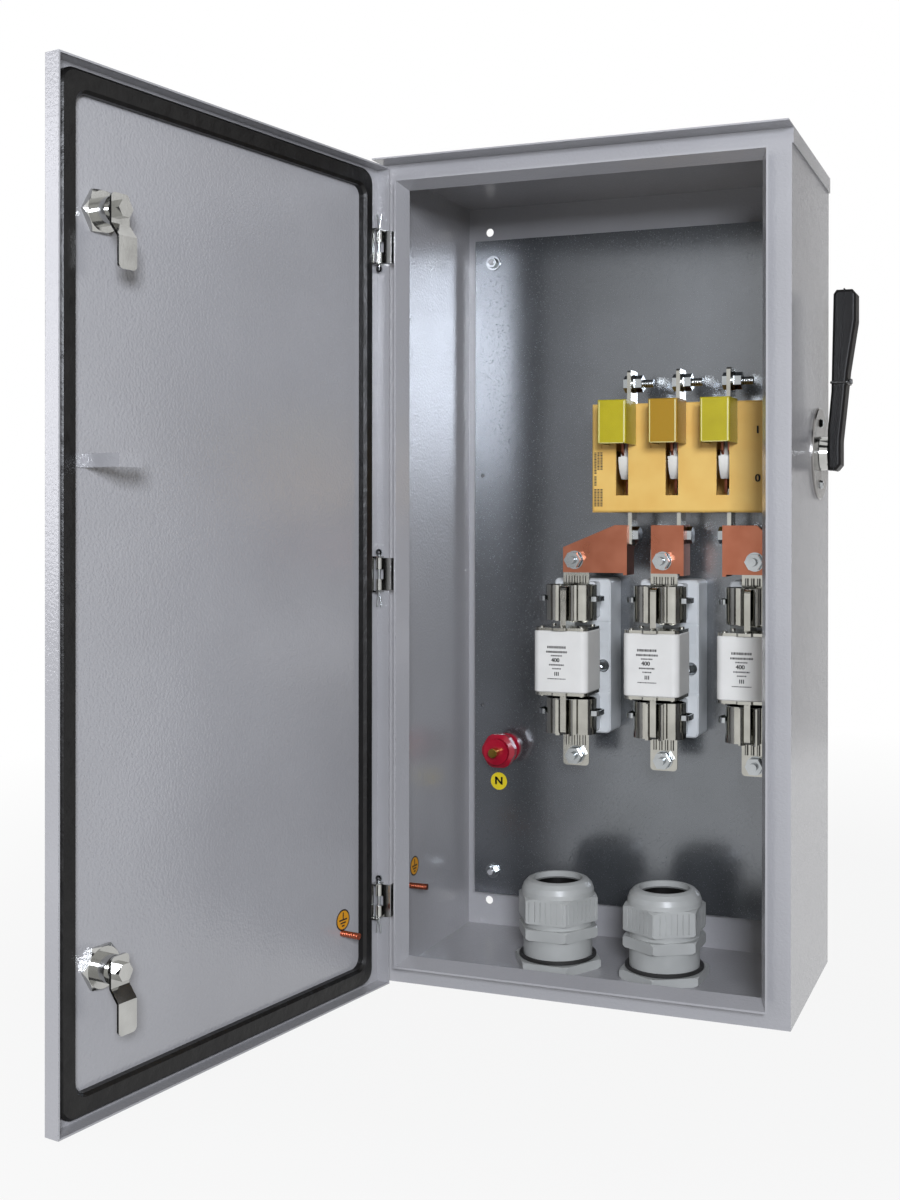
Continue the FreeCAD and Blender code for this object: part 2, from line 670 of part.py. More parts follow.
# Moulded fuse bases: a stepped block with shallow panels, contact pads and a deep middle pocket
def fuse_bases():
    screws = []
    for name, x in fuses():
        left, right = "%s - baseWide/2" % x, "%s + baseWide/2" % x
        body = block(left, right, "baseFront", "plateFront", "baseLow", "baseHigh")
        soft = rounded(body, 5, along(FULL_Y))
        edged = rounded(soft, 1.5, lambda edge: edge.BoundBox.YMax < SIZES["baseFront"] + 0.01,
                        "Part::Chamfer")
        cuts = [block("%s - 17" % x, "%s + 17" % x, "baseFront - 1", "baseFront + 12",
                      "baseLow + 62", "baseHigh - 62")]
        for z in ("baseLow + 44", "baseHigh - 46"):
            cuts.append(block("%s - 1" % left, "%s + 1" % right, "baseFront - 1", "baseFront + 1.5",
                              z, "%s + 1.4" % z))
        for side in (-1, 1):
            for z in ("baseLow + 50", "baseHigh - 66", "baseHigh - 84"):
                low = "%s + %s" % (x, 18.5 if side > 0 else -28)
                cuts.append(block(low, "%s + 9.5" % low, "baseFront - 1", "baseFront + 1.2",
                                  z, "%s + 13" % z))
            cuts.append(rod("Y", "%s + %d" % (x, 23 * side), "baseFront - 1", BASE_SCREW_Z, 6.6, 3))
            cuts.append(rod("Y", "%s + %d" % (x, 23 * side), "baseFront", BASE_SCREW_Z, 2.6, 40))
        pads = []
        for low, high in (("baseHigh - 41", "baseHigh - 3"), ("baseLow + 3", "baseLow + 41")):
            pad = block("%s - 20" % x, "%s + 20" % x, "padFront", "baseFront + 1", low, high)
            pads.append(rounded(pad, 3, along(FULL_Y)))
            cuts.append(block("%s - 2.5" % x, "%s + 2.5" % x, "padFront - 1", "padFront + 8",
                              "%s - 1" % low, "%s + 1" % high))
        finish(cut(fuse(edged, *pads), *cuts), "fuse_base_%s" % name)
        for side in (-1, 1):
            screw_x = "%s + %d" % (x, 23 * side)
            head = cone("Y", screw_x, "baseFront - 3", BASE_SCREW_Z, 4, 6, 3)
            washer = rod("Y", screw_x, "baseFront", BASE_SCREW_Z, 6.5, 2)
            shank = rod("Y", screw_x, "baseFront + 1", BASE_SCREW_Z, 2.5, "plateFront - baseFront - 1")
            drive = prism("Y", screw_x, "baseFront - 4", BASE_SCREW_Z, 2.4, 3)
            screws.append(cut(fuse(head, washer, shank), drive))
    node("base_screws", *screws)


# One leaf spring of a jaw, its centre line drawn with straight runs and arcs
def lyre_half(x, side, z_low):
    back = SIZES["barFront"] + SIZES["barThick"] - SIZES["lyreThick"]
    half = SIZES["lyreHalf"] - SIZES["lyreThick"]
    pinch = SIZES["fuseBlade"] / 2 + 0.3
    front = SIZES["fuseFront"] + 14
    thick = SIZES["lyreThick"]

    def point(across, y):
        return FreeCAD.Vector(x + side * across, y, z_low)
    foot = point(2, back)
    knee = point(9, back)
    wide = point(half, back - 13)
    shoulder = point(10, back - 26)
    nip = point(pinch, front + 6)
    lip = point(9, front)
    path = Part.Wire([
        Part.makeLine(foot, knee),
        Part.Arc(knee, point(20, back - 4), wide).toShape(),
        Part.Arc(wide, point(22, back - 22), shoulder).toShape(),
        Part.Arc(shoulder, point(5.5, back - 28.6), nip).toShape(),
        Part.Arc(nip, point(5, front + 1.6), lip).toShape(),
    ])
    skin = path.makeOffset2D(-side * thick, 2, True, True)
    face = skin if skin.ShapeType == "Face" else Part.Face(skin.Wires)
    solid = face.extrude(FreeCAD.Vector(0, 0, SIZES["lyreTall"]))
    thing = doc.addObject("Part::Feature", "Lyre")
    thing.Shape = solid
    return thing


RING_TALL = 5


# Knife jaws: a contact strip and two facing leaf springs at each end of every base
def fuse_jaws():
    rings = []
    bolts = []
    strip_front = "barFront + barThick"
    strip_back = "%s + stripThick" % strip_front
    for step, (name, x) in enumerate(fuses()):
        centre = SIZES["fuseFirst"] + step * SIZES["fusePitch"]
        pieces = []
        ends = ((-54, 25, -50, 11, -28), (-202, -126, -166, -191, -144))
        for low, high, spring_low, bolt_z, ring_z in ends:
            strip = block("%s - stripWide/2" % x, "%s + stripWide/2" % x, strip_front, strip_back,
                          low, high)
            hole = rod("Y", x, "barFront", bolt_z, 4.5, 12)
            ribs = []
            rib_low = spring_low + 36.5 if bolt_z > 0 else spring_low - 15
            for across in (-9, -3, 3, 9):
                ribs.append(rod("Z", "%s + %d" % (x, across), strip_front, rib_low, 1.8,
                                8 if bolt_z > 0 else 14.5))
            pieces.append(cut(fuse(rounded(strip, 4, along(FULL_Y)), *ribs), hole))
            slot = block("%s - 34" % x, "%s + 34" % x, "barFront - 0.4", "barFront + 1.9",
                         ring_z - 3, ring_z + 3)
            for side in (-1, 1):
                pieces.append(cut(lyre_half(centre, side, spring_low), slot))
            rings.append(spring_ring(x, ring_z))
            bolts.append(face_bolt(x, bolt_z, strip_back))
        node("fuse_jaws_%s" % name, *pieces)
    node("jaw_springs", *rings)
    node("base_terminal_bolts", *bolts)


# Steel band round the outside of a jaw, open towards the front
def spring_ring(x, z):
    low, high = z - RING_TALL / 2, z + RING_TALL / 2
    outer = block("%s - 33" % x, "%s + 33" % x, "barFront - 22", "barFront + 1.5", low, high)
    inner = block("%s - 31.5" % x, "%s + 31.5" % x, "barFront - 20.5", "barFront", low - 1, high + 1)
    mouth = block("%s - 25" % x, "%s + 25" % x, "barFront - 24", "barFront - 19", low - 1, high + 1)
    soft = rounded(outer, 6, along(FULL_Z))
    hollow = rounded(inner, 4.5, along(FULL_Z))
    return cut(soft, hollow, mouth)


# Bolt along Y through a contact strip: head behind it, washers, nut and shank end in front
def face_bolt(x, z, strip_back):
    seat = "barFront" if z > 0 else "barFront + barThick"
    head = prism("Y", x, strip_back, z, "boltHex", 5.5)
    washer = rod("Y", x, "%s - 1.8" % seat, z, "boltHex + 0.7", 1.8)
    spring = rod("Y", x, "%s - 3.8" % seat, z, "boltHex - 1.8", 2)
    nut = prism("Y", x, "%s - 10.4" % seat, z, "boltHex", 6.6)
    shank = rod("Y", x, "%s - 16" % seat, z, "boltShank", "%s + 17" % minus(strip_back, seat))
    return fuse(head, washer, spring, nut, shank)


# Knife fuses: a rounded ceramic body; each end has a plate with a lug, six screws and a blade
def knife_fuses():
    for name, x in fuses():
        low, high = "fuseMid - fuseTall/2", "fuseMid + fuseTall/2"
        shell = block("%s - fuseWide/2" % x, "%s + fuseWide/2" % x, "fuseFront",
                      "fuseFront + fuseDeep", "%s + 3" % low, "%s - 3" % high)
        soft = rounded(shell, 7, along(FULL_Z))
        finish(rounded(soft, 1, lambda edge: edge.BoundBox.ZLength < 0.01, "Part::Chamfer"),
               "fuse_body_%s" % name)
        ends = []
        for up, plate_z, screw_z in ((-1, low, "%s - 1.4" % low), (1, "%s - 3" % high, high)):
            plate = block("%s - fuseWide/2 + 0.6" % x, "%s + fuseWide/2 - 0.6" % x,
                          "fuseFront + 0.6", "fuseFront + fuseDeep - 0.6", plate_z, "%s + 3" % plate_z)
            lug = block("%s - 8" % x, "%s + 8" % x, "fuseFront - 2.5", "fuseFront + 3",
                        plate_z, "%s + 3" % plate_z)
            solids = [rounded(plate, 6.5, along(FULL_Z)), rounded(lug, 2, along(FULL_Z))]
            for across in (-21, 0, 21):
                for deep in (7, 43):
                    solids.append(rod("Z", "%s + %d" % (x, across), "fuseFront + %d" % deep, screw_z,
                                      2.6, 1.4))
            start, end = ("fuseMid - 75", plate_z) if up < 0 else ("%s + 3" % plate_z, "fuseMid + 75")
            blade = block("%s - fuseBlade/2" % x, "%s + fuseBlade/2" % x, "fuseFront + 11",
                          "fuseFront + 39", start, end)
            middle = SIZES["fuseMid"]
            solids.append(rounded(blade, 5, lambda edge: along(FULL_X)(edge)
                                  and abs(edge.BoundBox.ZMin - middle) > 60))
            ends.append(fuse(*solids))
        node("fuse_blades_%s" % name, *ends)


RIBS = 42


# Cable glands standing on the floor, dome up: locknut, threaded body, cap, seal and ring
def glands():
    nuts = []
    seals = []
    rings = []
    for name, side, angle in (("left", -1, 0), ("right", 1, 30)):
        x = "%d*glandX" % side
        floor = "-boxHeight/2 + sheetThick"

        def upright(body):
            body.Placement = FreeCAD.Placement(FreeCAD.Vector(), FreeCAD.Rotation(FULL_Z, angle))
            return place(body, x, "glandY", floor)
        nut = upright(doc.addObject("Part::Prism", "Nut"))
        nut.Circumradius = 46
        nut.Height = 9
        nut_edge = upright(revolved([(0, 0), (44, 0), (46.5, 2), (46.5, 7), (44, 9), (0, 9)]))
        thread_hole = rod("Z", x, "glandY", "%s - 1" % floor, 35, 12)
        nuts.append(cut(common(nut, nut_edge), thread_hole))
        thread = upright(revolved([(27, 0), (34, 0), (35, 1), (35, 31), (27, 31)]))
        flange = upright(doc.addObject("Part::Prism", "Body"))
        flange.Circumradius = 42.5
        flange.Height = 11
        place(flange, x, "glandY", "%s + 31" % floor)
        flange_edge = upright(revolved([(27, 31), (41, 31), (42.6, 33), (42.6, 40), (40.5, 42),
                                        (27, 42)]))
        neck = upright(revolved([(27, 41), (35, 41), (35, 62), (32, 64), (27, 64)]))
        finish(fuse(thread, common(flange, flange_edge), neck), "gland_body_%s" % name)
        cap_hex = upright(doc.addObject("Part::Prism", "Cap"))
        cap_hex.Circumradius = 42.5
        cap_hex.Height = 25
        place(cap_hex, x, "glandY", "%s + 47.5" % floor)
        cap_edge = upright(revolved([(35.3, 47.5), (41.5, 47.5), (42.6, 49), (42.6, 70), (39, 72.5),
                                     (35.3, 72.5)]))
        dome = upright(revolved([(35.3, 71), (37, 71), (36.6, 77), (34.8, 82), (31, 86), (27.5, 87.5),
                                 (25, 87.5), (25, 82), (33, 74), (35.3, 72)]))
        ribs = []
        for step in range(RIBS):
            spot = 360 * (step + 0.5) / RIBS
            turn = FreeCAD.Rotation(FULL_Z, spot)
            rib = doc.addObject("Part::Box", "Rib")
            rib.Length = 3
            rib.Width = 1.2
            rib.Height = 20
            arm = turn.multVec(FreeCAD.Vector(rib_reach(spot - angle), -0.6, 0))
            rib.Placement = FreeCAD.Placement(arm, turn)
            bind(rib, "Placement.Base.x", "%s + %s" % (x, round(arm.x, 4)))
            bind(rib, "Placement.Base.y", "glandY + %s" % round(arm.y, 4))
            bind(rib, "Placement.Base.z", "%s + 50" % floor)
            ribs.append(rib)
        finish(cut(fuse(common(cap_hex, cap_edge), dome), *ribs), "gland_cap_%s" % name)
        seals.append(upright(revolved([(24.2, 56), (26.8, 56), (26.8, 64.2), (33, 64.2), (34.5, 68),
                                       (32.5, 73.5), (25.4, 80.5), (24.2, 80.5)])))
        section = [(35.2, -0.9), (36.2, -1.8), (38.2, -1.8), (39.2, -0.9), (39.2, 0.9), (38.2, 1.8),
                   (36.2, 1.8), (35.2, 0.9)]
        rings.append(place(revolved(section), x, "glandY", "%s + 11" % floor))
    node("gland_locknuts", *nuts)
    node("gland_seals", *seals)
    node("gland_rings", *rings)


# Distance from the axis to the flat of the cap's hexagon in one direction
def rib_reach(turn):
    flat = 42.5 * math.cos(math.radians(30))
    off = math.radians((turn % 60) - 30)
    return flat / math.cos(off) - 0.9


# Rotary handle on the right wall: disc, boss and a moulded lever with a raised joint line
def rotary_handle():
    disc = rod("X", "handleX", "shaftY", "shaftZ", "discSize/2", 2.5)
    soft = rounded(disc, 1, lambda edge: edge.BoundBox.XMin > SIZES["handleX"] + 2, "Part::Chamfer")
    holes = [rod("X", "handleX - 1", "shaftY", "shaftZ", "shaftSize/2 + 1.5", 5)]
    screws = []
    for side in (-1, 1):
        z = "shaftZ + %d" % (30 * side)
        holes.append(rod("X", "handleX - 1", "shaftY", z, 2.5, 5))
        head = cone("X", "handleX + 2.5", "shaftY", z, 4.6, 3.2, 2)
        shank = rod("X", "handleX - 5", "shaftY", z, 2, 8)
        drive = prism("X", "handleX + 3.4", "shaftY", z, 2, 3)
        screws.append(cut(fuse(head, shank), drive))
    finish(cut(soft, *holes), "handle_escutcheon")
    node("escutcheon_screws", *screws)
    hub = cone("X", "handleX + 3", "shaftY", "shaftZ", "hubSize/2", "hubSize/2 - 1.5", 7.6)
    socket = rod("X", "handleX", "shaftY", "shaftZ", "shaftSize/2", 3.3)
    finish(cut(hub, socket), "handle_hub")
    profile = [(210.6, "handleLow"), (219, "handleLow"), (223, "handleLow + 5"), (223, "shaftZ + 12"),
               (226, "shaftZ + 40"), (230, "shaftZ + 80"), (237.5, "handleTop - 30"),
               (237.5, "handleTop - 4"), (234, "handleTop"), (219, "handleTop"),
               (216, "handleTop - 4"), (214, "shaftZ + 60"), (210.6, "shaftZ + 22")]
    lever = padded("XZ_Plane", profile, "-shaftY - 14", 28)
    round_edges(lever, 3, lambda edge: not along(FULL_Y)(edge))
    joint_line = [(216.8, "handleLow - 0.6"), (217.3, "shaftZ + 22"), (221, "shaftZ + 60"),
                  (226.5, "handleTop + 0.7")]
    rim = [(x - 0.5, z) for x, z in joint_line] + [(x + 0.5, z) for x, z in reversed(joint_line)]
    finish(fuse(lever, padded("XZ_Plane", rim, "-shaftY - 14.6", 29.2)), "switch_handle")


def check_and_write():
    doc.recompute()
    failed = []
    for thing in doc.Objects:
        if "Invalid" in thing.State or "Error" in thing.State:
            owners = [owner.Label for owner in thing.InList]
            failed.append("%s in %s: %s" % (thing.Label, owners, thing.State))
    if failed:
        raise RuntimeError("; ".join(failed))
    os.makedirs("parts", exist_ok=True)
    for thing in NODES:
        shape = thing.Shape
        if shape.isNull() or not shape.isValid():
            raise RuntimeError("%s has no valid shape" % thing.Label)
        shape.exportStep(os.path.join("parts", thing.Label + ".step"))
    print("nodes written:", len(NODES))


box_shell()
roof_cap()
mounting_plate()
door_panel()
door_gasket()
hinge_leaves()
hinge_brackets()
hinge_split_pins()
door_locks()
interlock_tongue()
earth_studs()
neutral_post()
switch_base()
switch_cover()
arc_chutes()
switch_rotor()
terminals()
copper_links()
fuse_bases()
fuse_jaws()
knife_fuses()
glands()
rotary_handle()
check_and_write()
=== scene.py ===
import bpy
import json
import math
from mathutils import Vector, Matrix, Euler


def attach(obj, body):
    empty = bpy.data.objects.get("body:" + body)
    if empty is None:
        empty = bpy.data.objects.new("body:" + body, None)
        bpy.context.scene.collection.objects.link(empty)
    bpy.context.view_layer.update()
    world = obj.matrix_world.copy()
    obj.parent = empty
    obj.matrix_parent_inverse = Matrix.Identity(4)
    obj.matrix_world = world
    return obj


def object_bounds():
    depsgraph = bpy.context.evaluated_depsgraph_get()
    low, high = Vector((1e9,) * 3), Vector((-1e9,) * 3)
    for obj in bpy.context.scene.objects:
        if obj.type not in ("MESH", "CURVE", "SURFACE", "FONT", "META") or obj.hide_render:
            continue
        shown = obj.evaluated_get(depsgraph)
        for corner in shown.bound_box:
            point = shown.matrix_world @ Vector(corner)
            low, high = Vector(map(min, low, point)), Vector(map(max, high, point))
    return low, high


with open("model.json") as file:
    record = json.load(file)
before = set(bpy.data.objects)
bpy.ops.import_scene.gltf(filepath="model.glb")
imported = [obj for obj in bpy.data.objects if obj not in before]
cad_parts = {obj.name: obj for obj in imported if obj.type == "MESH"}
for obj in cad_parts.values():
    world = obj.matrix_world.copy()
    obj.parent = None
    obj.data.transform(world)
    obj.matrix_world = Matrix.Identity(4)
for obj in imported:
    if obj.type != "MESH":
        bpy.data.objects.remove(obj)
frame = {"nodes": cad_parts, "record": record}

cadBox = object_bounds()
print("stage: frame loaded")

# Places across the box that several pieces share, in mm
switchPoles = (10, 61.5, 113)
fuseWays = {"left": -48, "middle": 46, "right": 140}


# sRGB hex to the linear values that shaders take
def toLinear(hexText):
    parts = [int(hexText[i:i + 2], 16) / 255 for i in (1, 3, 5)]
    linear = [c / 12.92 if c <= 0.04045 else ((c + 0.055) / 1.055) ** 2.4 for c in parts]
    return (*linear, 1.0)


# Adds one node with its settings and links. Inputs go by name or number, and a link comes
# from a pair of node and output.
def addNode(tree, kind, settings=None, links=None):
    node = tree.nodes.new(kind)
    for name, value in (settings or {}).items():
        if isinstance(name, int) or name in node.inputs:
            node.inputs[name].default_value = value
        else:
            setattr(node, name, value)
    for name, (source, output) in (links or {}).items():
        tree.links.new(source.outputs[output], node.inputs[name])
    return node


def newMaterial(name):
    material = bpy.data.materials.new(name)
    material.use_nodes = True
    tree = material.node_tree
    shader = tree.nodes["Principled BSDF"]
    place = addNode(tree, "ShaderNodeTexCoord")
    return material, tree, shader, place


# A noise pattern on object coordinates; sizeMm is the size of one grain
def grain(tree, place, sizeMm, detail=2.0, stretch=(1, 1, 1)):
    mapping = addNode(tree, "ShaderNodeMapping", {"Scale": stretch}, {"Vector": (place, "Object")})
    return addNode(tree, "ShaderNodeTexNoise", {"Scale": 1000 / sizeMm, "Detail": detail},
                   {"Vector": (mapping, "Vector")})


# Soft sine grooves along X or Y. Real threads are too fine to show, so grooveMm is twice their pitch.
def grooves(tree, place, grooveMm, axis):
    return addNode(tree, "ShaderNodeTexWave",
                   {"Scale": 1000 / grooveMm * math.pi / 10, "bands_direction": axis},
                   {"Vector": (place, "Object")})


# A noise wanders between two tones. It stays near its middle, so the ramp is narrow.
def colourFrom(tree, shader, source, dark, light):
    ramp = addNode(tree, "ShaderNodeValToRGB", None, {"Fac": (source, "Fac")})
    first, last = ramp.color_ramp.elements
    first.position, first.color = 0.32, toLinear(dark)
    last.position, last.color = 0.68, toLinear(light)
    tree.links.new(ramp.outputs["Color"], shader.inputs["Base Color"])


# A noise moves the roughness a little to both sides
def roughFrom(tree, shader, source, roughness, less, more):
    reach = addNode(tree, "ShaderNodeMapRange",
                    {"From Min": 0.3, "From Max": 0.7,
                     "To Min": roughness - less, "To Max": roughness + more},
                    {"Value": (source, "Fac")})
    tree.links.new(reach.outputs["Result"], shader.inputs["Roughness"])


def bumpFrom(tree, shader, source, output, heightMm, strength=1.0, under=None):
    links = {"Height": (source, output)}
    if under is not None:
        links["Normal"] = (under, "Normal")
    bump = addNode(tree, "ShaderNodeBump", {"Strength": strength, "Distance": heightMm / 1000}, links)
    tree.links.new(bump.outputs["Normal"], shader.inputs["Normal"])
    return bump


# Polyester powder, sprayed and baked: a fine pebbled skin with a half gloss
def powderCoat(name, dark, light, roughness, cloudMm=160, pebbleMm=2.4, heightMm=0.3, gleam=0.85):
    material, tree, shader, place = newMaterial(name)
    colourFrom(tree, shader, grain(tree, place, cloudMm, 3), dark, light)
    pebble = grain(tree, place, pebbleMm, 3)
    roughFrom(tree, shader, pebble, roughness, 0.06, 0.08)
    bumpFrom(tree, shader, pebble, "Fac", heightMm)
    shader.inputs["Specular IOR Level"].default_value = gleam
    return material


# Plated or bare metal, rolled or turned: fine drawn lines and cloudy dulling
def bareMetal(name, dark, light, roughness, cloudMm=24, lineMm=0.4, lineLong=12, heightMm=0.02):
    material, tree, shader, place = newMaterial(name)
    shader.inputs["Metallic"].default_value = 1.0
    cloud = grain(tree, place, cloudMm, 2)
    colourFrom(tree, shader, cloud, dark, light)
    roughFrom(tree, shader, cloud, roughness, 0.03, 0.05)
    bumpFrom(tree, shader, grain(tree, place, lineMm, 2, (1, 1, 1 / lineLong)), "Fac", heightMm)
    return material


# Zinc coated sheet: soft stains and a blurred mirror
def sheetMetal(name, dark, light, roughness, cloudMm=110, gritMm=1.2, heightMm=0.006, metallic=0.85):
    material, tree, shader, place = newMaterial(name)
    shader.inputs["Metallic"].default_value = metallic
    colourFrom(tree, shader, grain(tree, place, cloudMm, 4), dark, light)
    grit = grain(tree, place, gritMm, 2)
    roughFrom(tree, shader, grit, roughness, 0.04, 0.08)
    bumpFrom(tree, shader, grit, "Fac", heightMm)
    return material


# Moulded plastic or glazed clay: even colour with slight flow clouds and a satin skin
def moulded(name, dark, light, roughness, cloudMm=26, skinMm=0.5, heightMm=0.02, through=0.0, gleam=0.5):
    material, tree, shader, place = newMaterial(name)
    colourFrom(tree, shader, grain(tree, place, cloudMm, 2), dark, light)
    skin = grain(tree, place, skinMm, 2)
    roughFrom(tree, shader, skin, roughness, 0.05, 0.07)
    bumpFrom(tree, shader, skin, "Fac", heightMm)
    shader.inputs["IOR"].default_value = 1.5
    shader.inputs["Specular IOR Level"].default_value = gleam
    if through:
        shader.inputs["Subsurface Weight"].default_value = through
        shader.inputs["Subsurface Radius"].default_value = (0.004, 0.003, 0.001)
    return material


# Foam poured in place: dull, with small pores and a soft swell along its length
def foamSeal(name, dark, light, roughness, cloudMm=14, swellMm=0.9, poreMm=1.2, poreDeepMm=0.06,
             gleam=0.28):
    material, tree, shader, place = newMaterial(name)
    cloud = grain(tree, place, cloudMm, 3)
    colourFrom(tree, shader, cloud, dark, light)
    swell = bumpFrom(tree, shader, cloud, "Fac", swellMm)
    pores = addNode(tree, "ShaderNodeTexVoronoi", {"Scale": 1000 / poreMm}, {"Vector": (place, "Object")})
    bumpFrom(tree, shader, pores, "Distance", poreDeepMm, 0.8, swell)
    shader.inputs["Roughness"].default_value = roughness
    shader.inputs["Specular IOR Level"].default_value = gleam
    return material


# Copper plated weld stud with a rolled M6 thread of 1 mm pitch
def threadedStud(name, dark, light, roughness, cloudMm=3, grooveMm=2.0, heightMm=0.5):
    material, tree, shader, place = newMaterial(name)
    shader.inputs["Metallic"].default_value = 1.0
    colourFrom(tree, shader, grain(tree, place, cloudMm, 2), dark, light)
    bumpFrom(tree, shader, grooves(tree, place, grooveMm, "X"), "Fac", heightMm)
    shader.inputs["Roughness"].default_value = roughness
    return material


# Bright zinc, whose tones and roughness the bolts share
zincPlate = ("#A2A6A8", "#B8BCBE", 0.14)


# Zinc plated bolts: their thread of 1.25 mm pitch shows where the distance to a bolt's axis is small.
# firstMm is a point on the first axis and stepMm the way from one axis to the next.
def threadedZinc(name, axis, firstMm, stepMm, radiusMm=4.3, grooveMm=2.5, heightMm=0.22):
    material = bareMetal(name, *zincPlate)
    tree = material.node_tree
    place = tree.nodes["Texture Coordinate"]
    across = [0 if axis == letter else 1 for letter in "XYZ"]
    move = addNode(tree, "ShaderNodeVectorMath",
                   {"operation": "SUBTRACT", 1: [v / 1000 for v in firstMm]}, {0: (place, "Object")})
    wrap = addNode(tree, "ShaderNodeVectorMath",
                   {"operation": "WRAP", 1: [s / 2000 for s in stepMm], 2: [-s / 2000 for s in stepMm]},
                   {0: (move, 0)})
    flat = addNode(tree, "ShaderNodeVectorMath", {"operation": "MULTIPLY", 1: across}, {0: (wrap, 0)})
    away = addNode(tree, "ShaderNodeVectorMath", {"operation": "LENGTH"}, {0: (flat, 0)})
    near = addNode(tree, "ShaderNodeMath", {"operation": "LESS_THAN", 1: radiusMm / 1000},
                   {0: (away, "Value")})
    height = addNode(tree, "ShaderNodeMath", {"operation": "MULTIPLY"},
                     {0: (grooves(tree, place, grooveMm, axis), "Fac"), 1: (near, 0)})
    bumpFrom(tree, tree.nodes["Principled BSDF"], height, "Value", heightMm)
    return material


# One finish for each slot of the record: dark tone, light tone, roughness
finishes = {
    # Light grey polyester powder on folded steel: soft lights over a pebbled skin
    "grey_paint": powderCoat("powderCoatGrey", "#9F9EA0", "#A7A6A8", 0.13),
    # Zinc coated sheet, left unpainted: blue grey, and it mirrors what stands before it
    "plate_paint": sheetMetal("galvanisedPlate", "#76797C", "#808387", 0.2),
    # Electroplated zinc on screws and spring bands: cool and bright
    "zinc": bareMetal("zincPlated", *zincPlate),
    # Nickel on pressed steel: a warm and nearly clear mirror
    "bright_steel": bareMetal("nickelPlated", "#AFAFAC", "#C2C2BF", 0.1),
    # Rolled copper bar, unplated: dull red with a blurred shine
    "copper": bareMetal("rolledCopper", "#A2634C", "#AE6F57", 0.3),
    # Tin on copper contacts: slightly yellow beside the zinc
    "tinned_copper": bareMetal("tinPlatedCopper", "#A6A59E", "#BAB9B2", 0.1),
    # Machined brass rod: deep yellow with sharp lights
    "brass": bareMetal("machinedBrass", "#B08A3C", "#C9A450", 0.22),
    # Foamed polyurethane: nearly black, with a soft uneven shine
    "seal_rubber": foamSeal("foamedSeal", "#0D0C0C", "#161514", 0.34),
    # Glass filled polyester post: deep crimson and glossy
    "crimson_moulding": moulded("crimsonPolyester", "#8A0A22", "#A3122B", 0.16),
    # Moulding compound of the switch: warm cream and satin
    "cream_moulding": moulded("creamMoulding", "#DDB05A", "#E3BB66", 0.4),
    # Arc resistant plastic of the chutes: greenish yellow, and a little light goes through
    "yellow_moulding": moulded("yellowChute", "#A89A06", "#B3A50C", 0.3, through=0.1),
    # White nylon of the blade carriers: clean and satin
    "white_moulding": moulded("whiteMoulding", "#E2E1DA", "#EFEEE8", 0.35),
    # Moulding compound of the fuse bases: cool pale grey, nearly matt
    "base_moulding": moulded("baseMoulding", "#C4C7C8", "#CFD1D1", 0.42),
    # Glazed ceramic of the fuses: off white with a clear gloss over a slow wave
    "ceramic": moulded("glazedCeramic", "#D6D4CF", "#DDDBD6", 0.14, skinMm=1.2, heightMm=0.01),
    # Grey nylon of the cable glands: satin
    "gland_nylon": moulded("glandNylon", "#A6A7A4", "#AFB0AD", 0.34),
    # Moulded rubber ring: soft black, nearly matt
    "ring_rubber": moulded("ringRubber", "#1B1A19", "#2A2928", 0.5),
    # Black nylon of the lever: deep black with a weak shine
    "black_moulding": moulded("blackMoulding", "#090808", "#0E0D0D", 0.36, gleam=0.16),
    # Copper plated steel of the weld studs: orange red, with the grooves of its thread
    "copper_plate": threadedStud("copperPlatedStud", "#A0503A", "#B8684E", 0.3),
}
slotOf = {row["node"]: row["material_slot"] for row in frame["record"]["subparts"]}


def dressNode(name, material):
    part = frame["nodes"][name]
    part.data.materials.clear()
    part.data.materials.append(material)


for nodeName in frame["nodes"]:
    dressNode(nodeName, finishes[slotOf[nodeName]])

# Satin nickel on the handle's disc, darker than the pressed parts
dressNode("handle_escutcheon", bareMetal("satinDisc", "#8C8A88", "#9A9896", 0.2))
dressNode("switch_terminal_bolts",
          threadedZinc("switchBoltThread", "X", firstMm=(0, -62, 192), stepMm=(1000, 1000, 155)))
dressNode("base_terminal_bolts",
          threadedZinc("baseBoltThread", "Y", firstMm=(-48, 0, 11), stepMm=(94, 1000, 202)))

# The middle chute is moulded in a darker amber than its neighbours
amberChute = {"tone": "#A17A04", "reachMm": 20}


def amberMiddle():
    tree = finishes["yellow_moulding"].node_tree
    parts = addNode(tree, "ShaderNodeSeparateXYZ", None,
                    {"Vector": (tree.nodes["Texture Coordinate"], "Object")})
    middle = addNode(tree, "ShaderNodeMath",
                     {"operation": "COMPARE", 1: switchPoles[1] / 1000, 2: amberChute["reachMm"] / 1000},
                     {0: (parts, "X")})
    blend = addNode(tree, "ShaderNodeMix", {"data_type": "RGBA", 7: toLinear(amberChute["tone"])},
                    {0: (middle, 0), 6: (tree.nodes["Color Ramp"], "Color")})
    tree.links.new(blend.outputs[2], tree.nodes["Principled BSDF"].inputs["Base Color"])


amberMiddle()
print("stage: frame dressed")


# Inks and small finishes of the added pieces: one tone under a fine grit
def plain(name, tone, roughness, gritMm=1.5):
    material, tree, shader, place = newMaterial(name)
    roughFrom(tree, shader, grain(tree, place, gritMm, 2), roughness, 0.03, 0.05)
    shader.inputs["Base Color"].default_value = toLinear(tone)
    return material


inks = {
    "black": plain("blackInk", "#1C1A18", 0.45),  # screen ink, soft black
    "signOrange": plain("orangeSticker", "#D9961A", 0.35),  # vinyl film with a satin face
    "signYellow": plain("yellowSticker", "#DDC51F", 0.35),  # the same film in yellow
    "tie": plain("blackTie", "#1A1818", 0.3),  # nylon strap, a little glossy
    "edgeHighlight": plain("paintedEdgeHighlight", "#D5CD8C", 0.4),  # painted highlight: pale strips where the edges of the yellow plastic catch the light, paler than its face
}


